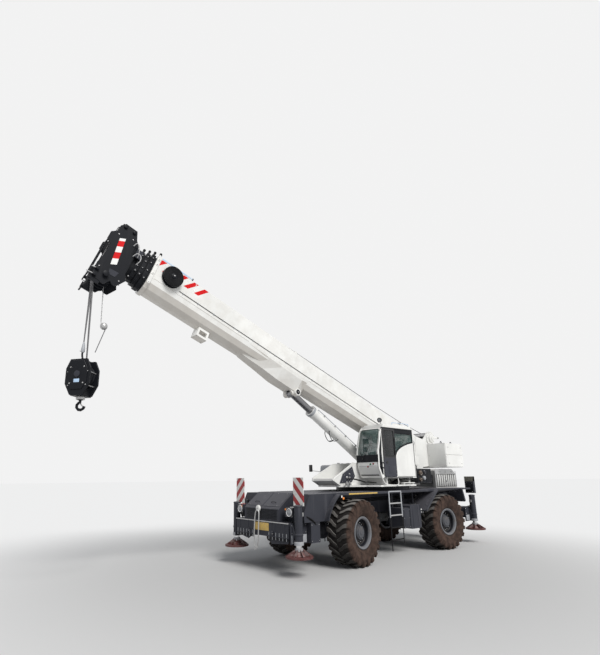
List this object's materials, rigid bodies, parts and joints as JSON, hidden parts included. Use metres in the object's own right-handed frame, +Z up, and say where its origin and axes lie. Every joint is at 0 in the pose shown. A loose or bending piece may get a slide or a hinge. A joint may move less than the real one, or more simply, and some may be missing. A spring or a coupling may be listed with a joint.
{
  "type": "rough terrain mobile crane",
  "caption": "Rough terrain crane with a telescopic boom, hook block, sliding-door cab, counterweight, steered axles and extending outriggers.",
  "frame": {"origin": "on the ground under the middle of the overall box", "axes": "+X forward along the boom, +Y to the machine's left, +Z up"},
  "size_m": [15.7336, 3.66, 8.9556],
  "materials": {
    "bare_steel": "bright",
    "black_steel": "satin",
    "board_white": "reflective",
    "carrier_grey": "semi-gloss, dusty",
    "crane_white": "gloss",
    "engine_grey": "rough",
    "rim_paint": "semi-gloss",
    "seat_cloth": "woven",
    "tyre_rubber": "dusty matt"
  },
  "bodies": {
    "carrier": {"chassis_frame": "carrier_grey", "carrier_body": "carrier_grey", "marker_board_left": "board_white", "marker_board_right": "board_white", "outrigger_box_front": "carrier_grey", "outrigger_box_rear": "carrier_grey", "axle_front": "carrier_grey", "axle_rear": "carrier_grey", "ladder_left": "carrier_grey", "ladder_right": "carrier_grey", "fuel_tank": "carrier_grey", "tool_box": "carrier_grey", "engine_hood": "carrier_grey", "engine_block": "engine_grey", "slew_ring": "black_steel"},
    "superstructure": {"turntable": "crane_white", "cab_shell": "crane_white", "operator_seat": "seat_cloth", "right_locker": "crane_white", "counterweight": "crane_white", "oil_cooler": "black_steel"},
    "cab_door": {"cab_door": "carrier_grey"},
    "winch_drum": {"winch_drum": "crane_white"},
    "boom": {"boom_base": "crane_white", "cable_reel": "black_steel"},
    "lift_barrel": {"lift_barrel": "crane_white"},
    "lift_rod": {"lift_rod": "bare_steel"},
    "section_2": {"boom_section_2": "black_steel"},
    "section_3": {"boom_section_3": "black_steel"},
    "section_4": {"boom_section_4": "black_steel"},
    "section_5": {"boom_section_5": "black_steel", "boom_head": "black_steel"},
    "hook_block": {"hook_block": "black_steel", "hook": "black_steel", "rope_falls": "bare_steel"},
    "knuckle_front_left": {"knuckle_front_left": "carrier_grey"},
    "wheel_front_left": {"tyre_front_left": "tyre_rubber", "rim_front_left": "rim_paint"},
    "beam_front_left": {"outrigger_beam_front_left": "carrier_grey"},
    "jack_front_left": {"jack_front_left": "black_steel"},
    "knuckle_front_right": {"knuckle_front_right": "carrier_grey"},
    "wheel_front_right": {"tyre_front_right": "tyre_rubber", "rim_front_right": "rim_paint"},
    "beam_front_right": {"outrigger_beam_front_right": "carrier_grey"},
    "jack_front_right": {"jack_front_right": "black_steel"},
    "knuckle_rear_left": {"knuckle_rear_left": "carrier_grey"},
    "wheel_rear_left": {"tyre_rear_left": "tyre_rubber", "rim_rear_left": "rim_paint"},
    "beam_rear_left": {"outrigger_beam_rear_left": "carrier_grey"},
    "jack_rear_left": {"jack_rear_left": "black_steel"},
    "knuckle_rear_right": {"knuckle_rear_right": "carrier_grey"},
    "wheel_rear_right": {"tyre_rear_right": "tyre_rubber", "rim_rear_right": "rim_paint"},
    "beam_rear_right": {"outrigger_beam_rear_right": "carrier_grey"},
    "jack_rear_right": {"jack_rear_right": "black_steel"}
  },
  "joints": [
    {"name": "slew", "type": "hinge", "parent": "carrier", "child": "superstructure", "pos_m": [-2.87677, 0, -0.00002], "axis": [0, 0, 1], "continuous": true},
    {"name": "boom_luff", "type": "hinge", "parent": "superstructure", "child": "boom", "pos_m": [-4.87677, 0, 3.79998], "axis": [0, -1, 0], "range_deg": [-20, 58]},
    {"name": "lift_rod_turn", "type": "hinge", "parent": "boom", "child": "lift_rod", "pos_m": [0.96919, 0, 5.19346], "axis": [0, -1, 0], "range_deg": [-1.4, 3.8]},
    {"name": "lift_barrel_slide", "type": "slide", "parent": "lift_rod", "child": "lift_barrel", "axis": [-0.854, 0, -0.5202], "range_m": [-0.63, 1.81]},
    {"name": "telescope_2", "type": "slide", "parent": "boom", "child": "section_2", "axis": [0.9397, 0, 0.342], "range_m": [0, 8.9]},
    {"name": "telescope_3", "type": "slide", "parent": "section_2", "child": "section_3", "axis": [0.9397, 0, 0.342], "range_m": [0, 8.9]},
    {"name": "telescope_4", "type": "slide", "parent": "section_3", "child": "section_4", "axis": [0.9397, 0, 0.342], "range_m": [0, 8.9]},
    {"name": "telescope_5", "type": "slide", "parent": "section_4", "child": "section_5", "axis": [0.9397, 0, 0.342], "range_m": [0, 8.9]},
    {"name": "hook_swing", "type": "hinge", "parent": "section_5", "child": "hook_block", "pos_m": [7.31557, 0, 7.37565], "axis": [0, -1, 0], "range_deg": [-60, 22]},
    {"name": "winch_turn", "type": "hinge", "parent": "superstructure", "child": "winch_drum", "pos_m": [-6.22677, 0, 4.07998], "axis": [0, 1, 0], "continuous": true},
    {"name": "cab_door_slide", "type": "slide", "parent": "superstructure", "child": "cab_door", "axis": [-1, 0, 0], "range_m": [0, 0.68]},
    {"name": "steer_front_left", "type": "hinge", "parent": "carrier", "child": "knuckle_front_left", "pos_m": [-0.12677, 1, 0.93498], "axis": [0, 0, 1], "range_deg": [-32, 18]},
    {"name": "steer_front_right", "type": "hinge", "parent": "carrier", "child": "knuckle_front_right", "pos_m": [-0.12677, -1, 0.93498], "axis": [0, 0, 1], "range_deg": [-32, 18]},
    {"name": "steer_rear_left", "type": "hinge", "parent": "carrier", "child": "knuckle_rear_left", "pos_m": [-5.02677, 1, 0.93498], "axis": [0, 0, 1], "range_deg": [-19, 31]},
    {"name": "steer_rear_right", "type": "hinge", "parent": "carrier", "child": "knuckle_rear_right", "pos_m": [-5.02677, -1, 0.93498], "axis": [0, 0, 1], "range_deg": [-19, 31]},
    {"name": "wheel_turn_front_left", "type": "hinge", "parent": "knuckle_front_left", "child": "wheel_front_left", "pos_m": [-0.17064, 1.35732, 0.93498], "axis": [-0.1219, 0.9925, 0], "continuous": true},
    {"name": "wheel_turn_front_right", "type": "hinge", "parent": "knuckle_front_right", "child": "wheel_front_right", "pos_m": [-0.0829, -1.35732, 0.93498], "axis": [-0.1219, 0.9925, 0], "continuous": true},
    {"name": "wheel_turn_rear_left", "type": "hinge", "parent": "knuckle_rear_left", "child": "wheel_rear_left", "pos_m": [-4.98914, 1.35803, 0.93498], "axis": [0.1045, 0.9945, 0], "continuous": true},
    {"name": "wheel_turn_rear_right", "type": "hinge", "parent": "knuckle_rear_right", "child": "wheel_rear_right", "pos_m": [-5.0644, -1.35803, 0.93498], "axis": [0.1045, 0.9945, 0], "continuous": true},
    {"name": "beam_slide_front_left", "type": "slide", "parent": "carrier", "child": "beam_front_left", "axis": [0, 1, 0], "range_m": [0, 2.1]},
    {"name": "jack_slide_front_left", "type": "slide", "parent": "beam_front_left", "child": "jack_front_left", "axis": [0, 0, -1], "range_m": [0, 0.6]},
    {"name": "beam_slide_front_right", "type": "slide", "parent": "carrier", "child": "beam_front_right", "axis": [0, -1, 0], "range_m": [0, 2.1]},
    {"name": "jack_slide_front_right", "type": "slide", "parent": "beam_front_right", "child": "jack_front_right", "axis": [0, 0, -1], "range_m": [0, 0.6]},
    {"name": "beam_slide_rear_left", "type": "slide", "parent": "carrier", "child": "beam_rear_left", "axis": [0, 1, 0], "range_m": [0, 2.1]},
    {"name": "jack_slide_rear_left", "type": "slide", "parent": "beam_rear_left", "child": "jack_rear_left", "axis": [0, 0, -1], "range_m": [0, 0.6]},
    {"name": "beam_slide_rear_right", "type": "slide", "parent": "carrier", "child": "beam_rear_right", "axis": [0, -1, 0], "range_m": [0, 2.1]},
    {"name": "jack_slide_rear_right", "type": "slide", "parent": "beam_rear_right", "child": "jack_rear_right", "axis": [0, 0, -1], "range_m": [0, 0.6]}
  ],
  "couplings": [
    {"joint": "lift_rod_turn", "follows": "boom_luff", "ratio": 0.06},
    {"joint": "lift_barrel_slide", "follows": "boom_luff", "m_per_rad": 1.78},
    {"joint": "hook_swing", "follows": "boom_luff", "ratio": -1},
    {"joint": "telescope_3", "follows": "telescope_2", "ratio": 1},
    {"joint": "telescope_4", "follows": "telescope_2", "ratio": 1},
    {"joint": "telescope_5", "follows": "telescope_2", "ratio": 1},
    {"joint": "steer_front_right", "follows": "steer_front_left", "ratio": 1},
    {"joint": "steer_rear_right", "follows": "steer_rear_left", "ratio": 1}
  ]
}
